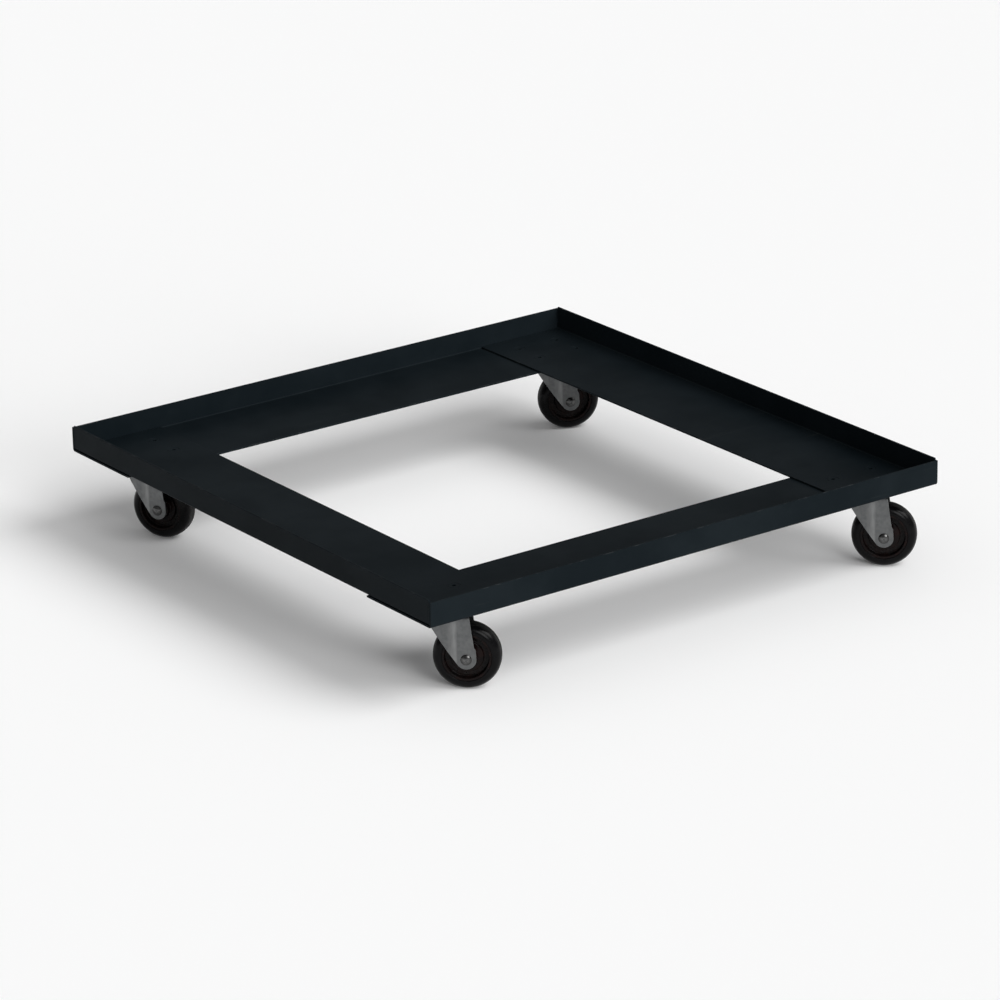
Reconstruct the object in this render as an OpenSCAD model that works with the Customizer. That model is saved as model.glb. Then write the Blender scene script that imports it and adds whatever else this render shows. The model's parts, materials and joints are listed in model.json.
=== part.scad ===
// Low rolling tray: four formed sheet-steel rails, lapped and welded at the corners,
// carried on four light-duty swivel casters with riveted axles.
// Frame: +Z up, front rail at -Y, origin on the floor under the middle of the tray.

/* [Frame] */
// Width of the frame across the front
frame_w = 480; // [360:1:720]
// Depth of the frame from front to rear
frame_d = 488; // [360:1:720]
// Width of each rail's horizontal flange
flange_w = 81; // [72:1:110]
// Height of the upturned rim of each rail
rim_h = 20; // [10:0.5:40]
// Thickness of the rails' sheet steel
sheet_t = 1.5; // [1:0.1:2.5]
// Inner radius of the bend between flange and rim
bend_r = 1; // [0.5:0.1:2]
// Length of each stitch weld under the lapped flanges
stitch_len = 20; // [10:1:30]

/* [Wheel] */
// Diameter of the wheel over its tyre
wheel_d = 50.8; // [44:0.2:76]
// Width of the tyre
wheel_w = 17; // [16:0.5:26]
// Radial depth of the tyre over the wheel core
tyre_t = 6.9; // [4:0.1:9]
// Rounding of the tyre's shoulders
shoulder_r = 6.4; // [1:0.1:7]
// Radius of the core's hub boss
hub_r = 8; // [6.5:0.1:10]
// How far the hub boss stands out beyond each side of the tyre
hub_proud = 1.7; // [1.2:0.1:3]
// Wall of the core's rim under the tyre
core_rim_t = 2; // [1:0.1:3]
// Thickness of the core's web near the rim
web_t = 7; // [4:0.5:10]

/* [Fork] */
// Thickness of the fork's sheet steel
fork_t = 2; // [1.6:0.1:3]
// Distance from the swivel axis back to the wheel axle
trail = 16.5; // [12:0.5:30]
// Free height between the tyre and the fork's crown
crown_gap = 6.7; // [5.5:0.1:12]
// Reach of each leg ahead of the swivel axis, at the crown
leg_lead = 14.9; // [12:0.1:20]
// Reach of each leg behind the swivel axis, at the crown
leg_tail = 18.9; // [12:0.1:20]
// Radius of each leg's rounded foot about the axle
lobe_r = 7.5; // [6.5:0.1:10]
// Distance ahead of the axle at which each leg is creased
crease_x = 7; // [5:0.5:14]
// Inward turn of each leg ahead of the crease, in degrees
crease_turn = 8; // [0:0.5:10]
// Diameter of the axle rivet
axle_d = 6; // [5:0.1:7]
// Diameter of the axle rivet's heads
axle_head_d = 8.4; // [8:0.1:11]
// Height of the axle rivet's domed heads
axle_head_h = 1.6; // [1:0.1:2.5]

/* [Swivel] */
// Diameter of the swivel's bearing balls
ball_d = 4; // [3:0.1:5]
// Radius of the circle on which the balls run
race_r = 7.6; // [7.2:0.1:9]
// Diameter of the king pin
king_pin_d = 8; // [6:0.1:8.4]
// Diameter of the king pin's head
king_head_d = 15; // [11:0.5:20]
// Diameter of the washer that holds the fork up on the king pin
pin_washer_d = 15; // [13:0.5:15]

/* [Top plate] */
// Thickness of the caster's top plate
plate_t = 2; // [1.6:0.1:3]
// Spacing of the plate's screws along the front
screw_dx = 38; // [36:0.5:46]
// Spacing of the plate's screws from front to rear
screw_dy = 28; // [28:0.5:36]
// Margin of the plate around its screws
plate_margin = 8; // [6:0.5:10]
// Radius of the dished boss that holds the upper ball race
boss_r = 14; // [12.5:0.1:15]
// Depth of the dished boss below the plate
boss_drop = 2.9; // [2.4:0.1:6]
// Diameter of the countersunk screws
screw_d = 5; // [4:0.1:6]
// Diameter of the countersunk heads
screw_head_d = 9.4; // [8.4:0.1:11]
// Thickness of the hexagon nuts
nut_t = 4; // [2.4:0.1:4.2]
// Distance across the flats of the hexagon nuts
nut_af = 8; // [7:0.1:10]

/* [Caster turns at rest] */
// Turn of the front left caster's trail from +X, in degrees
front_left_turn = -41; // [-180:1:180]
// Turn of the front right caster's trail from +X, in degrees
front_right_turn = -42; // [-180:1:180]
// Turn of the rear right caster's trail from +X, in degrees
rear_right_turn = -26; // [-180:1:180]
// Turn of the rear left caster's trail from +X, in degrees
rear_left_turn = -60; // [-180:1:180]

/* [Hidden] */
$fn = 64;
run_fit = 0.06;
seat_fit = 0.05;
hub_side_fit = 0.3;
ball_fit = 0.3;
washer_fit = 0.2;
screw_fit = 0.25;
screw_sunk = 0.1;
thread_end = 0.4;
race_depth = 0.7;
cut = 1;

bend_out = bend_r + sheet_t;
fork_bend_in = fork_t / 2;
fork_bend_out = fork_bend_in + fork_t;
bend_flats = 4;
weld_gap = bend_r;

wheel_r = wheel_d / 2;
core_r = wheel_r - tyre_t;
core_rim_in = core_r - core_rim_t;
core_rim_inset = 0.4;
web_step = 2;
web_step_r = (hub_r + core_rim_in) / 2;
web_step_t = web_t + 2 * web_step;
hub_len = wheel_w + 2 * hub_proud;
side_flat = 0.5;
tread_flat = 4;
shoulder = min(shoulder_r, tyre_t - side_flat, (wheel_w - tread_flat) / 2);
sleeve_t = 1.5;
sleeve_r = axle_d / 2 + sleeve_t;

leg_in = hub_len / 2 + hub_side_fit;
leg_out = leg_in + fork_t;
lobe_step = 1.5;

axle_z = wheel_r;
crown_z = wheel_d + crown_gap;
crown_top = crown_z + fork_t;
race_gap = ball_d - 2 * race_depth;
ball_z = crown_top + race_gap / 2;
boss_z = crown_top + race_gap;
plate_z = boss_z + boss_drop;
frame_z = plate_z + plate_t;
lap_z = frame_z + sheet_t;
seat_z = lap_z + sheet_t;

ball_pitch = 2 * asin((ball_d + ball_fit) / (2 * race_r));
ball_count = floor(360 / ball_pitch);
king_head_sunk = 0.9;
king_head_t = boss_drop - king_head_sunk;
pin_washer_t = 1.3;
pin_end_h = 2.2;
pin_flare = 2.5;
pin_end_r = king_pin_d / 2 + pin_flare;

caster_x = frame_w / 2 - flange_w / 2;
caster_y = frame_d / 2 - flange_w / 2;
side_rail_len = frame_d - 2 * (sheet_t + weld_gap);
screw_len = seat_z - screw_sunk - plate_z + nut_t + thread_end;

paint = "#1d2224";
zinc = "#a9b0b4";
bright = "#c9ced1";
moulding = "#17181a";
rubber = "#101113";

// Each corner: name, side in X, side in Y, turn of its caster at rest
CORNERS = [
    ["front_left", -1, -1, front_left_turn],
    ["front_right", 1, -1, front_right_turn],
    ["rear_right", 1, 1, rear_right_turn],
    ["rear_left", -1, 1, rear_left_turn],
];
CASTER_PIECES = [
    "top_plate", "king_pin", "pin_washer", "balls", "fork",
    "axle_rivet", "axle_sleeve", "wheel_core", "tyre",
];
FRAME_PIECES = [
    "front_rail", "rear_rail", "left_rail", "right_rail",
    "corner_welds", "plate_screws", "plate_nuts",
];

// The point where a line from p touches the circle of radius r about the origin
function touch(p, r) =
    let (a = atan2(p[1], p[0]) + acos(r / norm(p)))
    [r * cos(a), r * sin(a)];

module at_casters() {
    for (c = CORNERS)
        translate([c[1] * caster_x, c[2] * caster_y, 0])
            children();
}

module at_caster(c) {
    translate([c[1] * caster_x, c[2] * caster_y, 0])
        rotate([0, 0, c[3]])
            children();
}

// Turns a shape made about +Z onto the wheel's axle
module at_axle() {
    translate([trail, 0, axle_z])
        rotate([90, 0, 0])
            children();
}

module at_screws() {
    for (x = [-1, 1], y = [-1, 1])
        translate([x * screw_dx / 2, y * screw_dy / 2, 0])
            children();
}

// A rail's bent section: the outer face at x = 0, the underside at y = 0
module rail_section() {
    translate([bend_out, 0])
        square([flange_w - bend_out, sheet_t]);
    translate([0, bend_out])
        square([sheet_t, rim_h - bend_out]);
    intersection() {
        square(bend_out);
        translate([bend_out, bend_out])
            difference() {
                circle(bend_out);
                circle(bend_r);
            }
    }
}

// Countersunk clearance holes through the lapped flanges and the top plate
module screw_holes() {
    hole_r = screw_d / 2 + screw_fit;
    head_r = screw_head_d / 2 + screw_fit;
    at_screws() {
        translate([0, 0, plate_z - cut])
            cylinder(r = hole_r, h = seat_z - plate_z + 2 * cut);
        translate([0, 0, seat_z - head_r + hole_r])
            cylinder(r1 = hole_r, r2 = head_r, h = head_r - hole_r);
        translate([0, 0, seat_z])
            cylinder(r = head_r, h = cut);
    }
}

module long_rail() {
    color(paint)
        difference() {
            translate([-frame_w / 2, -frame_d / 2, frame_z])
                rotate([90, 0, 90])
                    linear_extrude(frame_w)
                        rail_section();
            at_casters()
                screw_holes();
        }
}

module front_rail() {
    long_rail();
}

module rear_rail() {
    mirror([0, 1, 0])
        long_rail();
}

module side_rail() {
    color(paint)
        difference() {
            translate([-frame_w / 2, side_rail_len / 2, lap_z])
                rotate([90, 0, 0])
                    linear_extrude(side_rail_len)
                        rail_section();
            at_casters()
                screw_holes();
        }
}

module left_rail() {
    side_rail();
}

module right_rail() {
    mirror([1, 0, 0])
        side_rail();
}

// One corner's welds: the seam between the rims, and two stitches under the lap
module corner_weld() {
    seam_z = lap_z + bend_out;
    translate([-frame_w / 2, -frame_d / 2 + sheet_t, seam_z])
        cube([sheet_t, weld_gap, frame_z + rim_h - seam_z]);
    for (x = [flange_w / 4, 3 * flange_w / 4])
        translate([-frame_w / 2 + x - stitch_len / 2, -frame_d / 2 + flange_w, lap_z])
            rotate([90, 0, 90])
                linear_extrude(stitch_len)
                    polygon([[0, 0], [0, -sheet_t], [sheet_t, 0]]);
}

module corner_welds() {
    color(paint)
        for (x = [0, 1], y = [0, 1])
            mirror([x, 0, 0])
                mirror([0, y, 0])
                    corner_weld();
}

module plate_screw() {
    screw_r = screw_d / 2;
    head_r = screw_head_d / 2;
    top = seat_z - screw_sunk;
    translate([0, 0, top - screw_len])
        cylinder(r = screw_r, h = screw_len);
    translate([0, 0, top - head_r + screw_r])
        cylinder(r1 = screw_r, r2 = head_r, h = head_r - screw_r);
}

module plate_screws() {
    color(paint)
        at_casters()
            at_screws()
                plate_screw();
}

module plate_nut() {
    translate([0, 0, plate_z - nut_t])
        difference() {
            cylinder(d = nut_af / cos(30), h = nut_t, $fn = 6);
            translate([0, 0, -cut])
                cylinder(r = screw_d / 2 + seat_fit, h = nut_t + 2 * cut);
        }
}

module plate_nuts() {
    color(zinc)
        at_casters()
            at_screws()
                plate_nut();
}

// The ring-shaped groove in which the balls run, shared by the crown and the plate
module race_groove() {
    translate([0, 0, ball_z])
        rotate_extrude()
            translate([race_r, 0])
                circle(ball_d / 2 + ball_fit);
}

module plate_outline() {
    square([screw_dx + 2 * plate_margin, screw_dy], center = true);
    square([screw_dx, screw_dy + 2 * plate_margin], center = true);
    at_screws()
        circle(plate_margin);
}

module top_plate() {
    color(zinc)
        difference() {
            union() {
                translate([0, 0, plate_z])
                    linear_extrude(plate_t)
                        plate_outline();
                translate([0, 0, boss_z])
                    cylinder(r = boss_r, h = boss_drop + plate_t / 2);
            }
            translate([0, 0, boss_z + plate_t])
                cylinder(r = boss_r - plate_t, h = boss_drop + cut);
            translate([0, 0, boss_z - cut])
                cylinder(r = king_pin_d / 2 + seat_fit, h = plate_t + 2 * cut);
            race_groove();
            screw_holes();
        }
}

module king_pin() {
    washer_z = crown_z - washer_fit - pin_washer_t;
    head_z = boss_z + plate_t;
    color(bright)
        union() {
            translate([0, 0, head_z])
                cylinder(d = king_head_d, h = king_head_t);
            translate([0, 0, washer_z - pin_end_h])
                cylinder(d = king_pin_d, h = head_z - washer_z + pin_end_h);
            translate([0, 0, washer_z - pin_end_h])
                cylinder(r1 = king_pin_d / 2, r2 = pin_end_r, h = pin_end_h);
        }
}

module pin_washer() {
    color(zinc)
        translate([0, 0, crown_z - washer_fit - pin_washer_t])
            difference() {
                cylinder(d = pin_washer_d, h = pin_washer_t);
                translate([0, 0, -cut])
                    cylinder(r = king_pin_d / 2 + seat_fit, h = pin_washer_t + 2 * cut);
            }
}

module balls() {
    color(bright)
        for (i = [0 : ball_count - 1])
            rotate([0, 0, i * 360 / ball_count])
                translate([race_r, 0, ball_z])
                    sphere(d = ball_d);
}

// A leg's outline from the side, with the axle at the origin and the trail towards +x
module leg_outline() {
    top = crown_top - axle_z;
    lead = [-trail - leg_lead, top];
    tail = [-trail + leg_tail, top];
    circle(lobe_r);
    polygon([
        lead,
        touch(lead, lobe_r),
        [0, 0],
        [lobe_r, 0],
        [lobe_r - lobe_step / 4, lobe_r],
        [lobe_r - lobe_step, lobe_r + lobe_step],
        tail,
    ]);
}

// A quarter arc of short flats about c, from +x round to +y
function bend_arc(c, r) =
    [for (i = [0 : bend_flats]) c + r * [cos(90 * i / bend_flats), sin(90 * i / bend_flats)]];

// A long bar along x: bent over at y = side, and square at y = -far
module bent_bar(side, far, top, r) {
    foot = -2 * lobe_r;
    reach = 2 * (trail + leg_lead + leg_tail);
    translate([-reach / 2, 0, 0])
        rotate([90, 0, 90])
            linear_extrude(reach)
                polygon(concat(
                    [[side, foot]],
                    bend_arc([side - r, top - r], r),
                    [[-far, top], [-far, foot]]
                ));
}

// The fork's form on one side: straight behind the crease and turned inwards ahead of it
module creased_side(side, top, r) {
    far = 3 * leg_out;
    intersection() {
        bent_bar(side, far, top, r);
        translate([-crease_x, leg_out, 0])
            rotate([0, 0, crease_turn])
                translate([0, -leg_out, 0])
                    bent_bar(side, far, top, r);
    }
}

// The fork's form in the round, about the axle: its outside, or the room inside it
module fork_form(side, top, r) {
    intersection() {
        creased_side(side, top, r);
        mirror([0, 1, 0])
            creased_side(side, top, r);
    }
}

module fork() {
    color(zinc)
        difference() {
            translate([trail, 0, axle_z])
                difference() {
                    intersection() {
                        fork_form(leg_out, crown_top - axle_z, fork_bend_out);
                        translate([0, 2 * leg_out, 0])
                            rotate([90, 0, 0])
                                linear_extrude(4 * leg_out)
                                    leg_outline();
                    }
                    fork_form(leg_in, crown_z - axle_z, fork_bend_in);
                }
            translate([0, 0, crown_z - cut])
                cylinder(r = king_pin_d / 2 + run_fit, h = fork_t + 2 * cut);
            race_groove();
            at_axle()
                cylinder(r = axle_d / 2 + seat_fit, h = 3 * leg_out, center = true);
        }
}

module rivet_head() {
    dome_r = (pow(axle_head_d / 2, 2) + pow(axle_head_h, 2)) / (2 * axle_head_h);
    translate([0, 0, leg_out])
        intersection() {
            translate([0, 0, axle_head_h - dome_r])
                sphere(dome_r);
            cylinder(d = axle_head_d, h = axle_head_h + cut);
        }
}

module axle_rivet() {
    color(bright)
        at_axle()
            union() {
                cylinder(d = axle_d, h = 2 * leg_out, center = true);
                rivet_head();
                mirror([0, 0, 1])
                    rivet_head();
            }
}

module axle_sleeve() {
    color(zinc)
        at_axle()
            difference() {
                cylinder(r = sleeve_r, h = 2 * leg_in, center = true);
                cylinder(r = axle_d / 2 + seat_fit, h = 2 * leg_in + cut, center = true);
            }
}

// A ring about the axle, from radius a to radius b and of width w
module ring_section(a, b, w) {
    translate([a, -w / 2])
        square([b - a, w]);
}

module wheel_core() {
    bore_r = sleeve_r + run_fit;
    color(moulding)
        at_axle()
            rotate_extrude() {
                ring_section(bore_r, hub_r, hub_len);
                ring_section(bore_r, web_step_r, web_step_t);
                ring_section(bore_r, core_rim_in + core_rim_t / 2, web_t);
                ring_section(core_rim_in, core_r, wheel_w - 2 * core_rim_inset);
            }
}

module tyre_section() {
    shoulder_x = wheel_r - shoulder;
    shoulder_y = wheel_w / 2 - shoulder;
    bore_r = core_r + seat_fit;
    ring_section(bore_r, shoulder_x, wheel_w);
    ring_section(bore_r, wheel_r, 2 * shoulder_y);
    for (s = [0, 1])
        mirror([0, s])
            intersection() {
                translate([shoulder_x, shoulder_y])
                    circle(shoulder);
                translate([shoulder_x, 0])
                    square([shoulder, wheel_w]);
            }
}

module tyre() {
    color(rubber)
        at_axle()
            rotate_extrude()
                tyre_section();
}

front_rail();
rear_rail();
left_rail();
right_rail();
corner_welds();
plate_screws();
plate_nuts();
for (c = CORNERS) {
    at_caster([c[0], c[1], c[2], 0]) top_plate();
    at_caster(c) king_pin();
    at_caster(c) pin_washer();
    at_caster(c) balls();
    at_caster(c) fork();
    at_caster(c) axle_rivet();
    at_caster(c) axle_sleeve();
    at_caster(c) wheel_core();
    at_caster(c) tyre();
}
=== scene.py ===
import json
import math

import bmesh
import bpy
from mathutils import Matrix, Vector


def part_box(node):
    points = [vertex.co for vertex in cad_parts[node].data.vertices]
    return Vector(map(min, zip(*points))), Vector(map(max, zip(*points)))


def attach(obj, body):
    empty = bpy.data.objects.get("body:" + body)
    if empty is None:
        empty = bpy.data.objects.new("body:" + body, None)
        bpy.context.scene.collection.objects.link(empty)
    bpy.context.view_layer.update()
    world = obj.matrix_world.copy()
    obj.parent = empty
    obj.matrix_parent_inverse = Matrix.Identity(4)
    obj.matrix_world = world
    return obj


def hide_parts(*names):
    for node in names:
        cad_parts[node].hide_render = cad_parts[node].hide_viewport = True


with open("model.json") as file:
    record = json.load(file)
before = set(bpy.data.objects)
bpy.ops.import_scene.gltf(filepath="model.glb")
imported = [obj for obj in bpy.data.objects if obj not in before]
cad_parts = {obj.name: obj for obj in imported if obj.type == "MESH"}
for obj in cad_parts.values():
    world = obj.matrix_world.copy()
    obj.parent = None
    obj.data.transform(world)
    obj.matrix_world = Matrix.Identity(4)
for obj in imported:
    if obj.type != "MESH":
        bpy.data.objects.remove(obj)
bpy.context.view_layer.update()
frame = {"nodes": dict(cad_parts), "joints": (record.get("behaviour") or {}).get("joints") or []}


# Rails: four L-sections of sheet steel, sheared, folded up to a rim on a press brake, and drilled and
# countersunk where the casters bolt on. The side rails lap over the front and rear ones, and the whole
# tray is sprayed with black enamel.
RAIL_TURNS = {"front_rail": 0, "right_rail": 90, "rear_rail": 180, "left_rail": -90}
RAIL_SIZES = {
    "Sheet": 0.0015,
    "Bend Inside": 0.001,
    "Sheared Edge": 0.00035,
    "Hole Radius": 0.00275,
    "Countersink Radius": 0.00495,
}
BEND_STEPS = 6
RAIL_END_STEPS = 3
SCREW_SPACING = (0.038, 0.028)
HOLE_SIDES = 40
DRILL_SHEETS = 5.0
DRILL_SHEETS_BELOW = 4.0
SHARP_ANGLE = math.radians(32)
TOUCHING = 1e-6
ENAMEL_DARK = (0.0048, 0.0074, 0.0092, 1)
ENAMEL_LIGHT = (0.0074, 0.0106, 0.0128, 1)
# Lighter enamel for the rounded edges: partly worn paint, partly a painted highlight.
ENAMEL_EDGE_WEAR_AND_HIGHLIGHT = (0.021, 0.024, 0.026, 1)
ENAMEL_SCUFF = (0.026, 0.029, 0.030, 1)
ENAMEL_ROUGHNESS = (0.41, 0.46)
ENAMEL_SPECULAR = 0.025


def put(tree, kind, inputs=None, **settings):
    """Adds a node to a tree with its settings, and sets or links its inputs."""
    node = tree.nodes.new(kind)
    for name, value in settings.items():
        setattr(node, name, value)
    for key, value in (inputs or {}).items():
        if isinstance(value, bpy.types.NodeSocket):
            tree.links.new(value, node.inputs[key])
        else:
            node.inputs[key].default_value = value
    return node.outputs


def maths(tree, operation, a, b):
    """One step of arithmetic with two values."""
    return put(tree, "ShaderNodeMath", {0: a, 1: b}, operation=operation)[0]


def times(tree, a, b):
    """The product of two values."""
    return maths(tree, "MULTIPLY", a, b)


def vector(tree, x=0.0, y=0.0, z=0.0):
    """A vector made of three values."""
    return put(tree, "ShaderNodeCombineXYZ", {0: x, 1: y, 2: z})[0]


def new_tree(name, **sizes):
    """Starts a Geometry Nodes tree with a base mesh, named sizes and a material as inputs."""
    tree = bpy.data.node_groups.new(name, "GeometryNodeTree")
    sockets = {"Base": "Geometry", **sizes, "Material": "Material"}
    for socket, kind in sockets.items():
        tree.interface.new_socket(socket, in_out="INPUT", socket_type=f"NodeSocket{kind}")
    tree.interface.new_socket("Piece", in_out="OUTPUT", socket_type="NodeSocketGeometry")
    return tree, tree.nodes.new("NodeGroupInput").outputs


def set_on(tree, points, piece, **turn_and_scale):
    """Sets a copy of a piece on each point."""
    inputs = {"Points": points, "Instance": piece, **turn_and_scale}
    return put(tree, "GeometryNodeInstanceOnPoints", inputs)[0]


def end_tree(tree, entry, geometry):
    """Ends a tree: real geometry in the piece's material."""
    real = put(tree, "GeometryNodeRealizeInstances", {"Geometry": geometry})[0]
    dressed = put(tree, "GeometryNodeSetMaterial", {"Geometry": real, "Material": entry["Material"]})[0]
    put(tree, "NodeGroupOutput", {"Piece": dressed})


def add_object(name, data):
    """Puts a new object in the scene."""
    holder = bpy.data.objects.new(name, data)
    bpy.context.scene.collection.objects.link(holder)
    return holder


def plain_mesh(holder):
    """The mesh that an object's modifiers make, in one material, with the object taken out of the scene."""
    graph = bpy.context.evaluated_depsgraph_get()
    mesh = bpy.data.meshes.new_from_object(holder.evaluated_get(graph))
    holder.modifiers.clear()
    bpy.data.objects.remove(holder)
    finishes = [material for material in mesh.materials if material]
    mesh.materials.clear()
    for material in finishes:
        mesh.materials.append(material)
    if "material_index" in mesh.attributes:
        mesh.attributes.remove(mesh.attributes["material_index"])
    return mesh


def grow(tree, points, edges=(), **values):
    """Runs a tree on a base of points and edges, and gives the plain mesh that comes of it."""
    base = bpy.data.meshes.new(tree.name)
    base.from_pydata(points, edges, [])
    holder = add_object(tree.name, base)
    modifier = holder.modifiers.new(tree.name, "NODES")
    modifier.node_group = tree
    for item in tree.interface.items_tree:
        if item.in_out == "INPUT" and item.name in values:
            modifier[item.identifier] = values[item.name]
    return plain_mesh(holder)


def pick(tree, kind, values):
    """Gives each point of a curve, in order, its own value of that kind."""
    index = put(tree, "GeometryNodeInputIndex")[0]
    switch = put(tree, "GeometryNodeIndexSwitch", {"Index": index}, data_type=kind)[0].node
    while len(switch.index_switch_items) < len(values):
        switch.index_switch_items.new()
    for socket, value in zip(list(switch.inputs)[1:], values):
        tree.links.new(value, socket)
    return switch.outputs[0]


def rail_section(tree, entry):
    """A rail's L-section: six corners, rounded at the bend and the sheared edges, turned for the sweep."""
    sheet, edge, bend = entry["Sheet"], entry["Sheared Edge"], entry["Bend Inside"]
    rim = entry["Rim Height"]
    tip = times(tree, entry["Flange Width"], 0.5)
    face = times(tree, entry["Flange Width"], -0.5)
    inside = maths(tree, "ADD", face, sheet)
    outline = [(face, 0.0), (tip, 0.0), (tip, sheet), (inside, sheet), (inside, rim), (face, rim)]
    places = pick(tree, "VECTOR", [vector(tree, y, z) for y, z in outline])
    rounds = pick(tree, "FLOAT", [maths(tree, "ADD", bend, sheet), edge, edge, bend, edge, edge])
    ring = put(tree, "GeometryNodeCurvePrimitiveCircle", {"Resolution": len(outline)})[0]
    section = put(tree, "GeometryNodeSetPosition", {"Geometry": ring, "Position": places})[0]
    rounding = {"Curve": section, "Count": BEND_STEPS, "Radius": rounds}
    section = put(tree, "GeometryNodeFilletCurve", rounding, mode="POLY")[0]
    return put(tree, "GeometryNodeTransform", {"Geometry": section, "Rotation": (0, 0, math.pi)})[0]


def countersink(tree, entry, bar):
    """Countersinks and drills a bar from above, at each of the base's points."""
    sheet, hole, sink = entry["Sheet"], entry["Hole Radius"], entry["Countersink Radius"]
    point = times(tree, hole, 0.5)
    mouth = maths(tree, "ADD", sink, sheet)
    cone = {"Radius Top": mouth, "Radius Bottom": point, "Depth": maths(tree, "SUBTRACT", mouth, point)}
    cone_foot = maths(tree, "SUBTRACT", point, sink)
    drill = {"Radius Top": hole, "Radius Bottom": hole, "Depth": times(tree, sheet, DRILL_SHEETS)}
    drill_foot = times(tree, sheet, -DRILL_SHEETS_BELOW)
    for sizes, foot in ((cone, cone_foot), (drill, drill_foot)):
        cutter = put(tree, "GeometryNodeMeshCone", {"Vertices": HOLE_SIDES, **sizes})[0]
        lowered = {"Geometry": cutter, "Translation": vector(tree, z=foot)}
        cutter = put(tree, "GeometryNodeTransform", lowered)[0]
        holes = set_on(tree, entry["Base"], cutter)
        holes = put(tree, "GeometryNodeRealizeInstances", {"Geometry": holes})[0]
        bar = put(tree, "GeometryNodeMeshBoolean", {"Mesh 1": bar, "Mesh 2": holes}, solver="EXACT")[0]
    return bar


def rail_tree():
    """An L-section swept along X, and countersunk at its base's points."""
    names = ["Length", "Flange Width", "Rim Height", *RAIL_SIZES]
    tree, entry = new_tree("Formed rail", **{name: "Float" for name in names})
    half = times(tree, entry["Length"], 0.5)
    ends = {"Start": vector(tree, times(tree, half, -1.0)), "End": vector(tree, half)}
    path = put(tree, "GeometryNodeCurvePrimitiveLine", ends)[0]
    path = put(tree, "GeometryNodeSetCurveNormal", {"Curve": path}, mode="Z_UP")[0]
    sweep = {"Curve": path, "Profile Curve": rail_section(tree, entry), "Fill Caps": True}
    bar = put(tree, "GeometryNodeCurveToMesh", sweep)[0]
    end_tree(tree, entry, countersink(tree, entry, bar))
    return tree


def round_ends(mesh, half, edge):
    """Takes the sharpness off a rail's two sheared ends."""
    model = bmesh.new()
    model.from_mesh(mesh)
    ends = [e for e in model.edges if abs(sum(v.co.x for v in e.verts)) > 2 * half - TOUCHING]
    bmesh.ops.bevel(
        model,
        geom=ends,
        offset=edge,
        segments=RAIL_END_STEPS,
        profile=0.5,
        affect="EDGES",
        material=-1,
    )
    model.to_mesh(mesh)
    model.free()


def mark(mesh, name, domain, values):
    """Keeps a value for each of a mesh's faces or points, for its finish to read by name."""
    mesh.attributes.new(name, "FLOAT", domain).data.foreach_set("value", values)


def mark_edges(mesh, width):
    """Marks the faces narrower than width, which are the rounded edges, for the finish to lighten: partly
    wear, partly a painted highlight.
    """
    narrow = []
    for face in mesh.polygons:
        points = [mesh.vertices[i].co for i in face.vertices]
        longest = max((a - b).length for a, b in zip(points, points[1:] + points[:1]))
        narrow.append(float(face.area < width * longest))
    mark(mesh, "rub", "FACE", narrow)


def show(name, mesh, body, node):
    """Puts a finished mesh in the scene: it rides on its body and stands for its CAD node."""
    mesh.shade_smooth()
    mesh.set_sharp_from_angle(angle=SHARP_ANGLE)
    holder = add_object(name, mesh)
    holder.modifiers.new("Flat faces stay flat", "WEIGHTED_NORMAL").keep_sharp = True
    piece = add_object(name, plain_mesh(holder))
    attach(piece, body)
    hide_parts(node)


def start_finish(name):
    """A new material, with its node tree and its shader."""
    material = bpy.data.materials.new(name)
    material.use_nodes = True
    return material, material.node_tree, material.node_tree.nodes["Principled BSDF"]


def kept(tree, name, output="Fac"):
    """What a piece's mesh keeps under that name."""
    return put(tree, "ShaderNodeAttribute", attribute_name=name)[output]


def noise(tree, coords, scale, detail=3.0, roughness=0.55, stretch=None):
    """The value of a noise of that scale per metre, stretched along the axes if asked."""
    if stretch:
        coords = put(tree, "ShaderNodeMapping", {"Vector": coords, "Scale": stretch})[0]
    sizes = {"Vector": coords, "Scale": scale, "Detail": detail, "Roughness": roughness}
    return put(tree, "ShaderNodeTexNoise", sizes)[0]


def spread(tree, value, low, high, to_low=0.0, to_high=1.0):
    """Maps a value's range smoothly to another."""
    sizes = {"Value": value, 1: low, 2: high, 3: to_low, 4: to_high}
    return put(tree, "ShaderNodeMapRange", sizes, interpolation_type="SMOOTHSTEP")[0]


def blend(tree, factor, a, b):
    """Mixes two colours."""
    return put(tree, "ShaderNodeMix", {0: factor, 6: a, 7: b}, data_type="RGBA")[2]


def lay(tree, shader, colour, gloss, grain, strength, distance):
    """Lays a finish on: its colour, its roughness, and a bump from its grain."""
    bump = {"Height": grain, "Strength": strength, "Distance": distance}
    normal = put(tree, "ShaderNodeBump", bump)[0]
    for socket, value in {"Base Color": colour, "Roughness": gloss, "Normal": normal}.items():
        tree.links.new(value, shader.inputs[socket])


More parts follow.
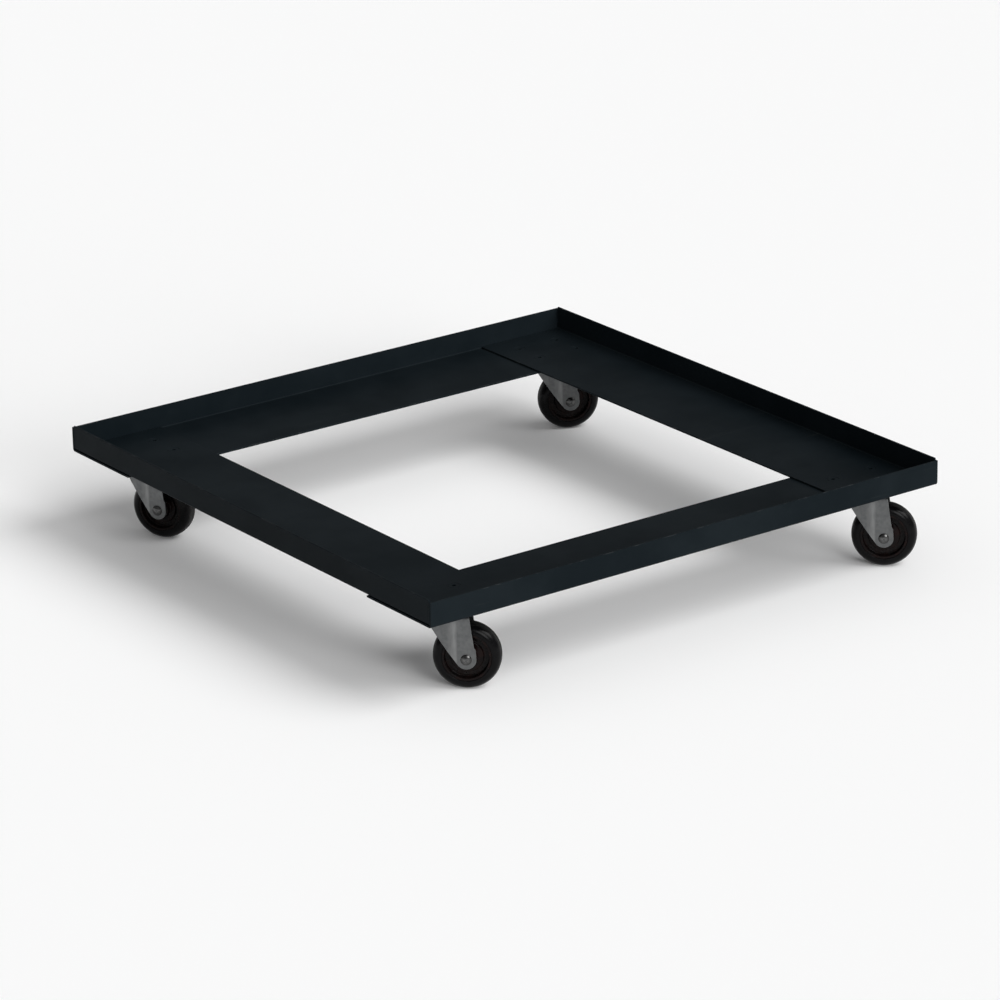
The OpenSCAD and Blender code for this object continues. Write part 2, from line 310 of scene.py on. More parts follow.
def black_enamel():
    """Sprayed enamel: fine orange peel, uneven gloss, scuffs where loads slide, and edges lightened in
    flecks as wear and as a painted highlight.
    """
    material, tree, shader = start_finish("Black enamel")
    coords = put(tree, "ShaderNodeTexCoord")["Object"]
    cloud = noise(tree, coords, scale=14, detail=4)
    colour = blend(tree, spread(tree, cloud, 0.35, 0.65), ENAMEL_DARK, ENAMEL_LIGHT)
    streaks = noise(tree, coords, scale=9, detail=6, roughness=0.7, stretch=(1, 34, 34))
    patches = noise(tree, coords, scale=7, detail=2)
    scuff = times(tree, spread(tree, streaks, 0.63, 0.73), spread(tree, patches, 0.48, 0.66))
    colour = blend(tree, scuff, colour, ENAMEL_SCUFF)
    flecks = noise(tree, coords, scale=70, detail=5, roughness=0.65)
    # The rounded edges get lighter flecks: partly worn paint, partly a painted highlight along them.
    edge_wear_and_highlight = times(tree, kept(tree, "rub"), spread(tree, flecks, 0.50, 0.62))
    colour = blend(tree, edge_wear_and_highlight, colour, ENAMEL_EDGE_WEAR_AND_HIGHLIGHT)
    haze = noise(tree, coords, scale=22, detail=5, roughness=0.6)
    gloss = spread(tree, haze, 0.3, 0.7, *ENAMEL_ROUGHNESS)
    peel = noise(tree, coords, scale=1100, detail=2)
    lay(tree, shader, colour, gloss, peel, strength=0.10, distance=0.0002)
    shader.inputs["Specular IOR Level"].default_value = ENAMEL_SPECULAR
    return material


joints = {joint["name"]: joint for joint in frame["joints"]}
corners = [name.removesuffix("_swivel_turn") for name in joints if name.endswith("_swivel_turn")]
swivels = {corner: Vector(joints[f"{corner}_swivel_turn"]["pos_m"]) for corner in corners}
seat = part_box("left_rail")[0].z + RAIL_SIZES["Sheet"]
screw_places = [
    Vector((swivel.x + x * SCREW_SPACING[0] / 2, swivel.y + y * SCREW_SPACING[1] / 2, seat))
    for swivel in swivels.values()
    for x in (-1, 1)
    for y in (-1, 1)
]

enamel = black_enamel()
formed_rail = rail_tree()
rail_edge = RAIL_SIZES["Sheared Edge"] / 2
for name, turn in RAIL_TURNS.items():
    low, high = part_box(name)
    size, middle = high - low, (low + high) / 2
    length, width = max(size.x, size.y), min(size.x, size.y)
    place = Matrix.Translation((middle.x, middle.y, low.z)) @ Matrix.Rotation(math.radians(turn), 4, "Z")
    over = [p for p in screw_places if low.x < p.x < high.x and low.y < p.y < high.y]
    rail = grow(
        formed_rail,
        [place.inverted() @ point for point in over],
        Material=enamel,
        Length=length,
        **{"Flange Width": width, "Rim Height": size.z, **RAIL_SIZES},
    )
    round_ends(rail, length / 2, rail_edge)
    mark_edges(rail, rail_edge)
    rail.transform(place)
    show(f"{name}_formed", rail, "frame", name)


# Corner welds: a run closes each rim's corner down to the flange, and two stitches hold each lap from
# below. They are laid with a wire welder, which leaves overlapping ripples, and are coated with the rails.
WELD_SIZES = {"Ripple Pitch": 0.0011, "Ripple Radius": 0.00105}
RIPPLE_SIDES = (14, 8)
RIPPLE_SCALES = (0.88, 1.06)
RIPPLE_SEED = 4
SEAM_GAP = 0.001
SEAM_ANGLES = range(0, 91, 15)
STITCH = 0.020
STITCH_SHARES = (0.25, 0.75)


def sphere(tree, radius, segments, rings):
    """A ball of that radius."""
    sizes = {"Radius": radius, "Segments": segments, "Rings": rings}
    return put(tree, "GeometryNodeMeshUVSphere", sizes)[0]


def chance(tree, low, high, seed):
    """A random value for each point, between two limits."""
    limits = {2: low, 3: high, "Seed": seed}
    return put(tree, "FunctionNodeRandomValue", limits, data_type="FLOAT")[1]


def weld_tree():
    """Ripples along each of the base's edges, turned to follow it and each of its own size."""
    tree, entry = new_tree("Weld run", **{size: "Float" for size in WELD_SIZES})
    run = put(tree, "GeometryNodeMeshToCurve", {"Mesh": entry["Base"]})[0]
    pitch = {"Curve": run, "Length": entry["Ripple Pitch"]}
    run = put(tree, "GeometryNodeResampleCurve", pitch, mode="LENGTH")[0]
    ripple = sphere(tree, entry["Ripple Radius"], *RIPPLE_SIDES)
    scale = chance(tree, *RIPPLE_SCALES, RIPPLE_SEED)
    along = put(tree, "GeometryNodeInputTangent")[0]
    turn = put(tree, "FunctionNodeAlignRotationToVector", {"Vector": along})[0]
    end_tree(tree, entry, set_on(tree, run, ripple, Rotation=turn, Scale=scale))
    return tree


front_low, front_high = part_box("front_rail")
lap_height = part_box("left_rail")[0].z
sheet = RAIL_SIZES["Sheet"]
flange = front_high.y - front_low.y
bend_out = RAIL_SIZES["Bend Inside"] + sheet
bend_middle = RAIL_SIZES["Bend Inside"] + sheet / 2
tuck = sheet / 4


def corner_runs(x, y):
    """One corner's runs: the seam down between its rims and round their bend, and the stitches below."""
    seam_y = y * (-front_low.y - sheet - SEAM_GAP / 2)
    seam = [(x * (front_high.x - sheet / 2), seam_y, front_high.z - sheet / 2)]
    for angle in SEAM_ANGLES:
        turn = math.radians(angle)
        seam_x = x * (front_high.x - bend_out + bend_middle * math.cos(turn))
        seam.append((seam_x, seam_y, lap_height + bend_out - bend_middle * math.sin(turn)))
    stitch_y = y * (-front_low.y - flange - tuck)
    middles = [x * (front_high.x - share * flange) for share in STITCH_SHARES]
    stitches = [
        [(middle + end * STITCH / 2, stitch_y, lap_height - tuck) for end in (-1, 1)]
        for middle in middles
    ]
    return [seam, *stitches]


weld_runs = [run for x in (-1, 1) for y in (-1, 1) for run in corner_runs(x, y)]
weld_points, weld_edges = [], []
for run in weld_runs:
    first = len(weld_points)
    weld_edges += [(i, i + 1) for i in range(first, first + len(run) - 1)]
    weld_points += run
welds = grow(weld_tree(), weld_points, weld_edges, Material=enamel, **WELD_SIZES)
show("corner_weld_runs", welds, "frame", "corner_welds")


# Top plates: pressed steel plates with a dished boss for the upper ball race, zinc plated and left
# dull. Each lies under a lapped corner and carries one caster.
PLATE_EDGE = 0.00035
SOFT_EDGE_STEPS = 2
FLAT_ANGLE = math.radians(1)
ZINC_DARK = (0.125, 0.129, 0.131, 1)
ZINC_LIGHT = (0.155, 0.159, 0.160, 1)
ZINC_STAIN = (0.098, 0.097, 0.094, 1)
# Lighter zinc for the rounded edges: partly wear, partly a painted highlight.
ZINC_EDGE_WEAR_AND_HIGHLIGHT = (0.33, 0.335, 0.33, 1)
# Lighter zinc for the painted highlight ahead of each leg's crease.
ZINC_PAINTED_HIGHLIGHT = (0.25, 0.254, 0.254, 1)
ZINC_ROUGHNESS = (0.32, 0.46)


def zinc_plate():
    """Dull zinc: a faint cloudy bloom, the rolled sheet's grain, a few stains, edges lighter as wear and as
    a painted highlight, and a painted highlight by each crease.
    """
    material, tree, shader = start_finish("Dull zinc plate")
    coords = kept(tree, "own", "Vector")
    bloom = noise(tree, coords, scale=260, detail=4, roughness=0.6)
    colour = blend(tree, spread(tree, bloom, 0.32, 0.68), ZINC_DARK, ZINC_LIGHT)
    stains = noise(tree, coords, scale=90, detail=5, roughness=0.6)
    colour = blend(tree, spread(tree, stains, 0.58, 0.74, 0.0, 0.6), colour, ZINC_STAIN)
    flecks = noise(tree, coords, scale=400, detail=3)
    # The rounded edges get lighter flecks: partly wear, partly a painted highlight along them.
    edge_wear_and_highlight = times(tree, kept(tree, "rub"), spread(tree, flecks, 0.35, 0.6, 0.2, 0.8))
    colour = blend(tree, edge_wear_and_highlight, colour, ZINC_EDGE_WEAR_AND_HIGHLIGHT)
    # A streaky band ahead of each leg's crease is lightened: a painted highlight.
    highlight_streaks = noise(tree, coords, scale=1, detail=3, roughness=0.6, stretch=(900, 900, 60))
    crease_highlight = times(tree, kept(tree, "burnish"), spread(tree, highlight_streaks, 0.25, 0.6, 0.4, 1.0))
    colour = blend(tree, crease_highlight, colour, ZINC_PAINTED_HIGHLIGHT)
    haze = noise(tree, coords, scale=150, detail=4, roughness=0.65)
    gloss = spread(tree, haze, 0.3, 0.7, *ZINC_ROUGHNESS)
    grain = noise(tree, coords, scale=1, detail=3, roughness=0.6, stretch=(5200, 5200, 260))
    lay(tree, shader, colour, gloss, grain, strength=0.12, distance=0.0001)
    shader.inputs["Metallic"].default_value = 1.0
    return material


def end_mesh(model, name):
    """Ends a model as a mesh of that name."""
    mesh = bpy.data.meshes.new(name)
    model.to_mesh(mesh)
    model.free()
    return mesh


def soften(node, edge):
    """A copy of a CAD node with its doubles merged and its sharp edges rounded off."""
    model = bmesh.new()
    model.from_mesh(frame["nodes"][node].data)
    bmesh.ops.remove_doubles(model, verts=model.verts, dist=TOUCHING)
    bmesh.ops.dissolve_limit(model, angle_limit=FLAT_ANGLE, verts=model.verts, edges=model.edges)
    sharp = [e for e in model.edges if e.is_manifold and e.calc_face_angle() > SHARP_ANGLE]
    bmesh.ops.bevel(
        model,
        geom=sharp,
        offset=edge,
        segments=SOFT_EDGE_STEPS,
        profile=0.5,
        affect="EDGES",
        clamp_overlap=True,
    )
    return end_mesh(model, node)


def keep_own(mesh, to_own):
    """Stores the piece's own coordinates on its mesh, so that a finish follows the piece."""
    own = mesh.attributes.new("own", "FLOAT_VECTOR", "POINT")
    for vertex in mesh.vertices:
        own.data[vertex.index].vector = to_own @ vertex.co


zinc = zinc_plate()
for corner in corners:
    node = f"{corner}_top_plate"
    plate = soften(node, PLATE_EDGE)
    keep_own(plate, Matrix.Translation(swivels[corner]).inverted())
    mark_edges(plate, PLATE_EDGE)
    plate.materials.append(zinc)
    show(f"{node}_pressed", plate, "frame", node)


# Plate screws and nuts: countersunk hexagon-socket screws, blackened, go down through both flanges and
# the top plate, and plated hexagon nuts are run up against the plate from below.
SCREW_HEAD = 0.0047
SCREW_RIM = 0.0002
SCREW_SHANK = 0.0025
SCREW_SOCKET = 0.0015
SOCKET_DEPTH = 0.0018
SCREW_CHAMFER = 0.0004
THREAD_PITCH = 0.0008
THREAD_DEPTH = 0.00045
THREAD_ROWS = 8
THREAD_START = 1.2
NUT_FLATS = 0.008
NUT_THICK = 0.004
NUT_BORE = 0.00255
NUT_LEAD = 0.0004
NUT_FACE = 0.475 * NUT_FLATS
NUT_CHAMFER = math.radians(30)
FASTENER_SIDES = 48
FASTENER_SEED = 11


def fastener_tree():
    """A fastener set at each of the base's points, each stopped at a different turn."""
    tree, entry = new_tree("Fastener set", Fastener="Object")
    fastener = put(tree, "GeometryNodeObjectInfo", {"Object": entry["Fastener"]})["Geometry"]
    angle = chance(tree, 0.0, math.tau, FASTENER_SEED)
    turn = put(tree, "FunctionNodeEulerToRotation", {0: vector(tree, z=angle)})[0]
    end_tree(tree, entry, set_on(tree, entry["Base"], fastener, Rotation=turn))
    return tree


def stack_rings(rings, hollow):
    """A mesh through rings of points: closed back on itself if hollow, and otherwise filled at its ends."""
    model = bmesh.new()
    loops = [[model.verts.new(point) for point in ring] for ring in rings]
    for a, b in zip(loops, loops[1:] + loops[:1] if hollow else loops[1:]):
        for i in range(len(a)):
            model.faces.new((a[i - 1], a[i], b[i], b[i - 1]))
    if not hollow:
        model.faces.new(loops[0])
        model.faces.new(loops[-1])
    bmesh.ops.recalc_face_normals(model, faces=model.faces)
    return end_mesh(model, "rings")


def ring_at(z, radius_at):
    """A ring of points at that height, as far from the middle as radius_at says for each angle."""
    turns = [math.tau * i / FASTENER_SIDES for i in range(FASTENER_SIDES)]
    return [(radius_at(turn) * math.cos(turn), radius_at(turn) * math.sin(turn), z) for turn in turns]


def round_ring(radius, z):
    """A round ring."""
    return ring_at(z, lambda angle: radius)


def hexagon_ring(flats, z):
    """A ring along a hexagon's sides, of that size across its flats."""
    sector = math.pi / 3
    return ring_at(z, lambda angle: flats / 2 / math.cos((angle + sector / 2) % sector - sector / 2))


def thread_ring(z, fade):
    """A ring of the screw's thread: its groove winds down once in each pitch, and fades at the ends."""
    def radius_at(angle):
        """How far out the thread's groove or crest lies."""
        phase = (z / THREAD_PITCH + angle / math.tau) % 1.0
        return SCREW_SHANK - fade * THREAD_DEPTH * (1 - abs(2 * phase - 1))

    return ring_at(z, radius_at)


def screw_mesh(length):
    """One screw, with the top of its head at z = 0."""
    socket = 2 * SCREW_SOCKET
    head_height = SCREW_HEAD - SCREW_SHANK
    top, bottom = -THREAD_START * head_height, SCREW_CHAMFER - length
    rows = round((top - bottom) / THREAD_PITCH * THREAD_ROWS)
    heights = [top + (bottom - top) * i / rows for i in range(rows + 1)]
    fades = [min(1.0, (top - z) / THREAD_PITCH, (z - bottom) / THREAD_PITCH) for z in heights]
    return stack_rings(
        [
            hexagon_ring(socket, -SOCKET_DEPTH),
            hexagon_ring(socket, -SCREW_RIM),
            hexagon_ring(socket + 2 * SCREW_RIM, 0),
            round_ring(SCREW_HEAD - SCREW_RIM, 0),
            round_ring(SCREW_HEAD, -SCREW_RIM),
            round_ring(SCREW_SHANK, -head_height),
            *(thread_ring(z, fade) for z, fade in zip(heights, fades)),
            round_ring(SCREW_SHANK - SCREW_CHAMFER, -length),
        ],
        hollow=False,
    )


def nut_mesh():
    """One nut, with its bearing face at z = 0 and its chamfered face down."""
    chamfered = [
        (x, y, -NUT_THICK + (math.hypot(x, y) - NUT_FACE) * math.tan(NUT_CHAMFER))
        for x, y, _ in hexagon_ring(NUT_FLATS, 0)
    ]
    return stack_rings(
        [
            round_ring(NUT_BORE, 0),
            hexagon_ring(NUT_FLATS, 0),
            chamfered,
            round_ring(NUT_FACE, -NUT_THICK),
            round_ring(NUT_BORE + NUT_LEAD, -NUT_THICK),
            round_ring(NUT_BORE, -NUT_THICK + NUT_LEAD),
        ],
        hollow=True,
    )


def set_fasteners(name, mesh, height, material, node):
    """Sets a fastener at every screw place, at that height, and shows the whole set."""
    pattern = add_object(name, mesh)
    places = [(p.x, p.y, height) for p in screw_places]
    made = grow(fastener_set, places, Fastener=pattern, Material=material)
    bpy.data.objects.remove(pattern)
    keep_own(made, Matrix.Identity(4))
    show(name, made, "frame", node)


fastener_set = fastener_tree()
screw_low, screw_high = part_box("plate_screws")
nut_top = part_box("plate_nuts")[1].z
screw = screw_mesh(screw_high.z - screw_low.z)
set_fasteners("socket_screws", screw, screw_high.z, enamel, "plate_screws")
set_fasteners("hexagon_nuts", nut_mesh(), nut_top, zinc, "plate_nuts")


# King pins and their washers: a plain steel pin, headed in the plate's dish and flared over a washer
# below the fork's crown, so that it holds the swivel together.
PIN_EDGE = 0.0003
STEEL_DARK = (0.120, 0.122, 0.125, 1)
STEEL_LIGHT = (0.190, 0.190, 0.188, 1)
STEEL_OILED = (0.036, 0.035, 0.034, 1)
STEEL_ROUGHNESS = (0.16, 0.30)


def bright_steel():
    """Bright plated steel: a few cloudy patches and a fine grain, dark where oil has stayed on it."""
    material, tree, shader = start_finish("Bright plated steel")
    coords = kept(tree, "own", "Vector")
    cloud = noise(tree, coords, scale=420, detail=4, roughness=0.6)
    colour = blend(tree, spread(tree, cloud, 0.3, 0.7), STEEL_DARK, STEEL_LIGHT)
    colour = blend(tree, kept(tree, "oil"), colour, STEEL_OILED)
    haze = noise(tree, coords, scale=900, detail=3)
    gloss = spread(tree, haze, 0.3, 0.7, *STEEL_ROUGHNESS)
    grain = noise(tree, coords, scale=5000, detail=2)
    lay(tree, shader, colour, gloss, grain, strength=0.05, distance=0.0001)
    shader.inputs["Metallic"].default_value = 1.0
    return material


steel = bright_steel()
for corner in corners:
    for node, material, slot in (("king_pin", steel, "bright_steel"), ("pin_washer", zinc, "zinc_steel")):
        mesh = soften(f"{corner}_{node}", PIN_EDGE)
        keep_own(mesh, Matrix.Translation(swivels[corner]).inverted())
        mark_edges(mesh, PIN_EDGE)
        mesh.materials.append(material)
        show(f"{corner}_{node}_turned", mesh, "frame", f"{corner}_{node}")


# Bearing balls: ten loose balls of bright steel to each caster. They run in the groove between the top
# plate's boss and the fork's crown, and roll round at half the fork's turn.
RACE_SIZES = {"Race Radius": 0.0076, "Ball Radius": 0.002, "Balls": 10}
BALL_SIDES = (28, 16)


def race_tree():
    """A ring of balls about Z."""
    tree, entry = new_tree("Ball race", **{"Race Radius": "Float", "Ball Radius": "Float", "Balls": "Int"})
    sizes = {"Vertices": entry["Balls"], "Radius": entry["Race Radius"]}
    ring = put(tree, "GeometryNodeMeshCircle", sizes)[0]
    ball = sphere(tree, entry["Ball Radius"], *BALL_SIDES)
    end_tree(tree, entry, set_on(tree, ring, ball))
    return tree


ball_race = race_tree()
trails = {corner: Vector(joints[f"{corner}_wheel_spin"]["pos_m"]) - swivels[corner] for corner in corners}
caster_places = {
    corner: Matrix.Translation((swivels[corner].x, swivels[corner].y, 0))
    @ Matrix.Rotation(math.atan2(trails[corner].y, trails[corner].x), 4, "Z")
    for corner in corners
}
for corner in corners:
    balls = grow(ball_race, [(0, 0, 0)], Material=steel, **RACE_SIZES)
    balls.transform(Matrix.Translation((0, 0, joints[f"{corner}_ball_roll"]["pos_m"][2])))
    keep_own(balls, Matrix.Identity(4))
    balls.transform(caster_places[corner])
    show(f"{corner}_ball_race", balls, f"{corner}_ball_ring", f"{corner}_balls")


# Forks: blanked from sheet steel and bent to a U over the wheel, with a crease down each leg that draws
# its leading part inwards, and a pressed groove for the balls in the crown. Zinc plated, dull.
FORK_SHEET = 0.002
FORK_TOP = 0.0595
FORK_BEND = 0.003
FORK_EDGE = 0.0006
FORK_EDGE_STEPS = 4
# How narrow a fork face must be to count as an edge, for the lighter edge that is part wear and part
# painted highlight.
FORK_WORN_HIGHLIT_EDGE = 0.45 * FORK_EDGE
BLANKED_ANGLE = math.radians(55)
LEG_OUT = 0.0125
LEG_LEAD = 0.0149
LEG_TAIL = 0.0189
LEAD_BULGE = 0.0009
LOBE = 0.0075
LOBE_STEP = 0.0015
LOBE_LEAN = 0.25
CREASE_AHEAD = 0.007
CREASE_SLOPE = math.tan(math.radians(8))
CREASE_SOFT = 0.0016
# The band of painted highlight ahead of each crease: its width, and where it rises and falls.
CREASE_HIGHLIGHT_WIDTH = 0.006
CREASE_HIGHLIGHT_START = 0.125
CREASE_HIGHLIGHT_END = 1.2
GROOVE = 0.0023
PIN_HOLE = 0.0042
PIN_HOLE_REACH = 1.5 * PIN_HOLE
EDGE_COLUMN = 0.035
MIDDLE_COLUMNS = 44
LOBE_STEPS = 36
SHOULDER_ROWS = 10
LEG_ROWS = 18
BEND_ROWS = 8
CROWN_ROWS = 16

axle_height = joints["front_left_wheel_spin"]["pos_m"][2]
trail = trails["front_left"].xy.length
ball_height = joints["front_left_ball_roll"]["pos_m"][2]
crown = FORK_TOP - axle_height
shoulder = LOBE + LOBE_STEP
leg_top = Vector((-trail - LEG_LEAD, crown))
lobe_start = math.atan2(leg_top.y, leg_top.x) + math.acos(LOBE / leg_top.length)
lobe_foot = LOBE * Vector((math.cos(lobe_start), math.sin(lobe_start)))
middle_columns = [i / MIDDLE_COLUMNS for i in range(MIDDLE_COLUMNS + 1)]
fork_columns = [0.0, *(EDGE_COLUMN + (1 - 2 * EDGE_COLUMN) * share for share in middle_columns), 1.0]


def leg_half_width(x):
    """Half the fork's width at x from the axle: straight behind the crease, drawn in ahead of it."""
    ahead = -CREASE_AHEAD - x
    return LEG_OUT - CREASE_SLOPE * (ahead + math.hypot(ahead, CREASE_SOFT)) / 2


def leg_span(z):
    """Where a leg's outline starts and ends along x, at z above the axle."""
    if z > lobe_foot.y:
        share = (z - lobe_foot.y) / (crown - lobe_foot.y)
        start = lobe_foot.x + share * (leg_top.x - lobe_foot.x) - 4 * LEAD_BULGE * share * (1 - share)
    else:
        start = -math.sqrt(LOBE**2 - z**2)
    if z < LOBE:
        end = LOBE - LOBE_STEP * LOBE_LEAN * z / LOBE
    elif z < shoulder:
        end = LOBE - LOBE_STEP * (LOBE_LEAN + (1 - LOBE_LEAN) * (z - LOBE) / LOBE_STEP)
    else:
        waist, tail = LOBE - LOBE_STEP, LEG_TAIL - trail
        end = waist + (tail - waist) * (z - shoulder) / (crown - shoulder)
    return start, end


def lobe_point(share, ring):
    """A point on the round lobe: a share of the way round one of its rings, whose radius is a share too."""
    angle = lobe_start + share * (math.tau - lobe_start)
    return LOBE * ring * Vector((math.cos(angle), math.sin(angle)))


def leg_root(across):
    """The bent line over the lobe that the leg grows from: in to the axle and out again."""
    return lobe_point(0.0, 1 - 2 * across) if across < 0.5 else lobe_point(1.0, 2 * across - 1)


def leg_point(up, across):
    """A point of the leg between the lobe and the shoulder, fitted between its two edges and its root."""
    lead_height, tail_height = lobe_foot.y + (shoulder - lobe_foot.y) * up, shoulder * up
    lead = Vector((leg_span(lead_height)[0], lead_height))
    tail = Vector((leg_span(tail_height)[1], tail_height))
    dip = leg_root(across) - leg_root(0.0).lerp(leg_root(1.0), across)
    return lead.lerp(tail, across) + dip * (1 - up)


def fork_skin(model, inner, side):
    """One half of the fork's outer skin: rings in its lobe and rows above, up the leg and over the crown.

    Each point also keeps its place on the inner skin, in a layer of the model.
    """
    def place(x, z, inset=0.0, z_inner=None, inset_inner=FORK_SHEET, share=0.0):
        """Adds a point, set in from the leg's face and then a share of the way to the fork's middle."""
        y, y_inner = ((leg_half_width(x) - i) * (1 - share) for i in (inset, inset_inner))
        drop = GROOVE**2 - (math.hypot(x + trail, y) - RACE_SIZES["Race Radius"]) ** 2
        groove = ball_height - math.sqrt(drop) if inset and drop > 0 else FORK_TOP
        vertex = model.verts.new((x + trail, side * y, min(z + axle_height, groove)))
        vertex[inner] = (x + trail, side * y_inner, (z if z_inner is None else z_inner) + axle_height)
        return vertex

    def span(z, *bend):
        """Adds a row of points across the leg."""
        start, end = leg_span(z)
        return [place(start + (end - start) * across, z, *bend) for across in fork_columns]

    rings = [
        [place(*lobe_point(i / LOBE_STEPS, 1 - 2 * across)) for i in range(LOBE_STEPS + 1)]
        for across in fork_columns[: len(fork_columns) // 2]
    ]
    axle = place(0.0, 0.0)
    rows = [[ring[0] for ring in rings] + [axle] + [ring[-1] for ring in reversed(rings)]]
    for i in range(1, SHOULDER_ROWS + 1):
        rows.append([place(*leg_point(i / SHOULDER_ROWS, across)) for across in fork_columns])
    straight = crown - FORK_BEND - shoulder
    rows += [span(shoulder + straight * i / LEG_ROWS) for i in range(1, LEG_ROWS)]
    bend_inside = FORK_BEND - FORK_SHEET
    for i in range(BEND_ROWS + 1):
        turn = math.radians(90 * i / BEND_ROWS)
        rise, run = math.sin(turn), math.cos(turn)
        outer = crown - FORK_BEND * (1 - rise), FORK_BEND * (1 - run)
        rows.append(span(*outer, crown - FORK_BEND + bend_inside * rise, FORK_BEND - bend_inside * run))
    for i in range(1, CROWN_ROWS + 1):
        rows.append(span(crown, FORK_BEND, crown - FORK_SHEET, FORK_BEND, i / CROWN_ROWS))
    for grid in (rings, rows):
        for a, b in zip(grid, grid[1:]):
            for i in range(len(a) - 1):
                model.faces.new((a[i], a[i + 1], b[i + 1], b[i]))
    for i in range(LOBE_STEPS):
        model.faces.new((rings[-1][i], rings[-1][i + 1], axle))


def open_pin_hole(model, inner):
    """Opens a round hole for the pin in the fork's crown."""
    middles = {face: face.calc_center_median() for face in model.faces}
    under_pin = [f for f, at in middles.items() if at.z > FORK_TOP - FORK_SHEET and at.xy.length < PIN_HOLE]
    bmesh.ops.delete(model, geom=under_pin, context="FACES")
    for vertex in model.verts:
        if vertex.is_boundary and vertex.co.xy.length < PIN_HOLE_REACH:
            vertex.co.xy *= PIN_HOLE / vertex.co.xy.length
            vertex[inner].xy = vertex.co.xy


def fork_mesh():
    """The fork in the caster's own frame: an outer and an inner skin, and walls along their edges."""
    model = bmesh.new()
    inner = model.verts.layers.float_vector.new("inner")
    for side in (-1, 1):
        fork_skin(model, inner, side)
    bmesh.ops.remove_doubles(model, verts=model.verts, dist=2 * TOUCHING)
    open_pin_hole(model, inner)
    bmesh.ops.recalc_face_normals(model, faces=model.faces)
    skin, rim = list(model.faces), [e.link_loops[0] for e in model.edges if e.is_boundary]
    behind = {vertex: model.verts.new(vertex[inner]) for vertex in list(model.verts)}
    for face in skin:
        model.faces.new([behind[vertex] for vertex in reversed(face.verts)])
    for loop in rim:
        a, b = loop.vert, loop.link_loop_next.vert
        model.faces.new((b, a, behind[a], behind[b]))
    model.verts.layers.float_vector.remove(inner)
    return end_mesh(model, "fork")


def round_blank(mesh, edge):
    """Rounds the blanked edges of a pressing."""
    holder = add_object("blank", mesh)
    rounding = holder.modifiers.new("Edge", "BEVEL")
    rounding.width = edge
    rounding.segments = FORK_EDGE_STEPS
    rounding.limit_method = "ANGLE"
    rounding.angle_limit = BLANKED_ANGLE
    return plain_mesh(holder)


def held(value):
    """Holds a value between 0 and 1."""
    return min(max(value, 0.0), 1.0)


def paint_crease_highlight(mesh):
    """Marks the band just ahead of each leg's crease, which the finish lightens as a painted highlight."""
    burnish = []
    for vertex in mesh.vertices:
        ahead = (trail - CREASE_AHEAD - vertex.co.x) / CREASE_HIGHLIGHT_WIDTH
        below = (FORK_TOP - FORK_BEND - vertex.co.z) / FORK_BEND
        rise, fall = (ahead / CREASE_HIGHLIGHT_START + 1) / 2, CREASE_HIGHLIGHT_END - ahead
        burnish.append(held(rise) * held(fall) * held(below))
    mark(mesh, "burnish", "POINT", burnish)


for corner in corners:
    fork = round_blank(fork_mesh(), FORK_EDGE)
    keep_own(fork, Matrix.Identity(4))
    # The band ahead of each crease gets a painted highlight.
    paint_crease_highlight(fork)
    mark_edges(fork, FORK_WORN_HIGHLIT_EDGE)
    fork.materials.append(zinc)
    fork.transform(caster_places[corner])
    show(f"{corner}_fork_pressed", fork, f"{corner}_swivel", f"{corner}_fork")


# Axle rivets and sleeves: a soft steel rivet is closed over both legs, with a shallow dimple left by the
# snap in its domed heads, and clamps a plain sleeve between the legs on which the wheel turns.
RIVET_SHANK = 0.003
RIVET_HEAD = 0.0042
RIVET_RISE = 0.0016
RIVET_RIM = 0.0002
RIVET_UNDERCUT = RIVET_RIM / 3
RIVET_WORN = 0.75
DOME_STEPS = 24
DIMPLE = 0.0013
DIMPLE_DEPTH = 0.0003
SLEEVE = 0.0045
LEG_IN = LEG_OUT - FORK_SHEET
LATHE_STEPS = 96


def turned(outline, closed):
    """An outline of (radius, width) points turned about the wheel's axle, in the caster's own frame."""
    model = bmesh.new()
    loops = []
    for i in range(LATHE_STEPS):
        angle = math.tau * i / LATHE_STEPS
        ahead, up = math.cos(angle), math.sin(angle)
        loops.append([model.verts.new((trail + r * ahead, w, axle_height + r * up)) for r, w in outline])
    sides = len(outline) if closed else len(outline) - 1
    for i in range(LATHE_STEPS):
        a, b = loops[i - 1], loops[i]
        for k in range(sides):
            n = (k + 1) % len(outline)
            model.faces.new((a[k], a[n], b[n], b[k]))
    bmesh.ops.remove_doubles(model, verts=model.verts, dist=TOUCHING)
    bmesh.ops.dissolve_degenerate(model, edges=model.edges, dist=TOUCHING / 10)
    bmesh.ops.recalc_face_normals(model, faces=model.faces)
    return end_mesh(model, "turned")


def rivet_outline():
    """Half the rivet from its dimple to its shank, then the same again for the other head."""
    crest = RIVET_RISE - RIVET_RIM
    dome = (RIVET_HEAD**2 + crest**2) / (2 * crest)
    half = []
    for i in range(DOME_STEPS + 1):
        r = RIVET_HEAD * i / DOME_STEPS
        rise = math.sqrt(dome**2 - r**2) - dome + RIVET_RISE
        dent = DIMPLE_DEPTH * (1 + math.cos(math.pi * min(r / DIMPLE, 1))) / 2
        half.append((r, LEG_OUT + rise - dent))
    half += [(RIVET_HEAD - RIVET_UNDERCUT, LEG_OUT), (RIVET_SHANK, LEG_OUT), (RIVET_SHANK, 0)]
    return half + [(r, -w) for r, w in reversed(half[:-1])]


def oil_rivet(mesh):
    """Marks a rivet as oiled all over, but less so towards the crowns of its heads, where it is worn."""
    rises = [(abs(vertex.co.y) - LEG_OUT) / RIVET_RISE for vertex in mesh.vertices]
    mark(mesh, "oil", "POINT", [1.0 - RIVET_WORN * held(rise) for rise in rises])


